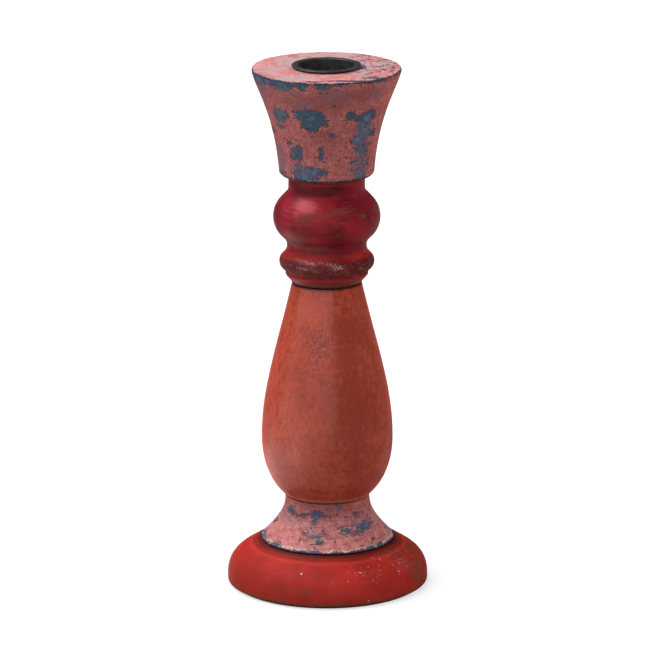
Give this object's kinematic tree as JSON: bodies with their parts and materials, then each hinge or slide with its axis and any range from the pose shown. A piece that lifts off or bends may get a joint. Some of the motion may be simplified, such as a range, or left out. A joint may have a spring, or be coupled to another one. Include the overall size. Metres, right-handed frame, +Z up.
{
  "type": "candlestick",
  "caption": "Turned wooden candlestick with a pear-shaped body, a flared cup and a lift-out steel socket for one dinner candle.",
  "frame": {"origin": "centre of the felt pad's underside, on the table", "axes": "+Z up along the turning axis; +Y away from the viewer and +X to the right"},
  "size_m": [0.08, 0.08, 0.2113],
  "materials": {
    "socket_steel": "black oxide, satin",
    "pink_paint": "dusty pink paint over blue, rubbed and chipped",
    "crimson_paint": "crimson paint, satin",
    "terracotta_stain": "terracotta stain, dusty matt",
    "red_paint": "red paint, satin, worn",
    "dowel_wood": "bare beech",
    "zinc_steel": "zinc plated",
    "felt": "black wool felt"
  },
  "bodies": {
    "stand": {"flared_cup": "pink_paint", "cup_dowel": "dowel_wood", "turned_knob": "crimson_paint", "knob_dowel": "dowel_wood", "pear_body": "terracotta_stain", "flared_collar": "pink_paint", "round_base": "red_paint", "coach_screw": "zinc_steel", "screw_washer": "zinc_steel", "felt_pad": "felt"},
    "socket": {"candle_socket": "socket_steel"}
  },
  "joints": [
    {"name": "socket_lift", "type": "slide", "parent": "stand", "child": "socket", "axis": [0, 0, 1], "range_m": [0, 0.03]}
  ]
}
